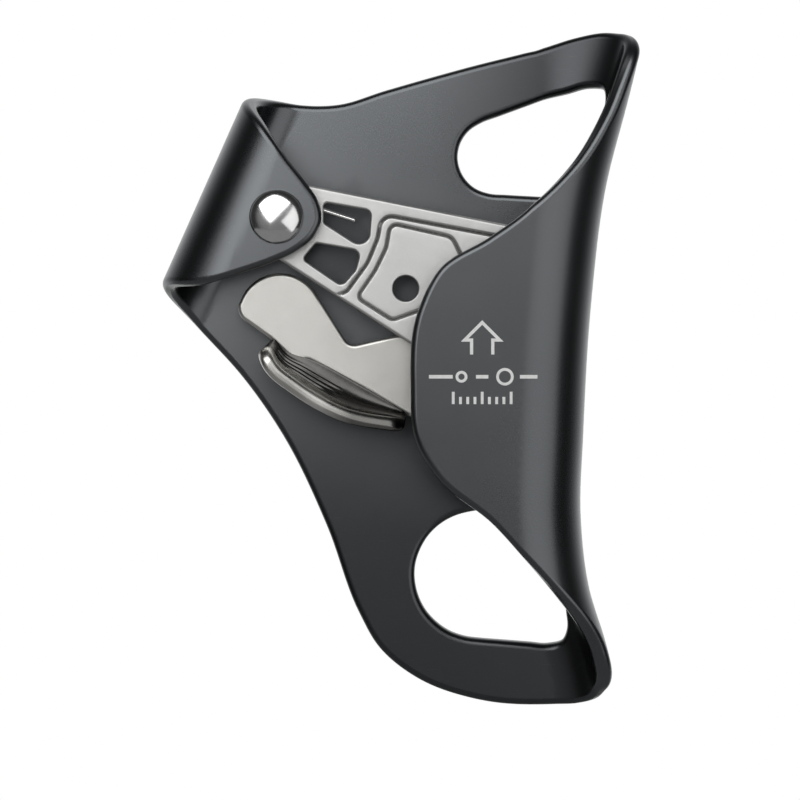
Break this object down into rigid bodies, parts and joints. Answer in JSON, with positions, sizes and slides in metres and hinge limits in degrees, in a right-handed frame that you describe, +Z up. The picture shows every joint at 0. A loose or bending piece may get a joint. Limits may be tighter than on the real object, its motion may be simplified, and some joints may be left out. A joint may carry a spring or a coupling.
{
  "type": "rope ascender",
  "caption": "Chest ascender: folded black sheet body with upper and lower eyes, a toothed cam on a riveted axle, and a sprung trigger with a curled finger tab.",
  "frame": {"origin": "on the rope's axis in the rope channel, level with the cam axle and midway between the back plate and the front flaps", "axes": "+Z up along the rope, -Y towards the front where the cam and trigger show, +X towards the closed side of the rope channel"},
  "size_m": [0.0934, 0.024, 0.1309],
  "materials": {
    "anodised_sheet": "black anodised, satin",
    "polished_rivet": "polished stainless steel",
    "cast_steel": "satin, fine cast texture",
    "stamped_steel": "tumbled, polished along its edges",
    "plain_steel": "turned",
    "bearing_bronze": "plain bronze",
    "spring_wire": "bright drawn wire"
  },
  "bodies": {
    "frame": {"frame": "anodised_sheet", "cam_axle": "polished_rivet", "front_thrust_washer": "bearing_bronze", "rear_thrust_washer": "bearing_bronze"},
    "cam": {"cam": "cast_steel", "cam_bush": "bearing_bronze", "cam_spring": "spring_wire", "trigger_pin": "plain_steel", "trigger_washer": "plain_steel", "trigger_stop_pin": "plain_steel"},
    "trigger": {"trigger": "stamped_steel", "trigger_bush": "bearing_bronze", "trigger_spring": "spring_wire"}
  },
  "joints": [
    {"name": "cam_open", "type": "hinge", "parent": "frame", "child": "cam", "pos_m": [-0.0476, 0, 0], "axis": [0, 1, 0], "range_deg": [0, 70], "stiffness_Nm_per_rad": 0.04, "springref_deg": -34.38, "deforming": ["cam_spring"]},
    {"name": "trigger_pull", "type": "hinge", "parent": "cam", "child": "trigger", "pos_m": [-0.0116, 0, -0.0245], "axis": [0, -1, 0], "range_deg": [0, 35], "stiffness_Nm_per_rad": 0.01, "springref_deg": -17.19, "deforming": ["trigger_spring"]}
  ],
  "couplings": [
    {"joint": "trigger_pull", "follows": "cam_open", "ratio": 0.5}
  ]
}
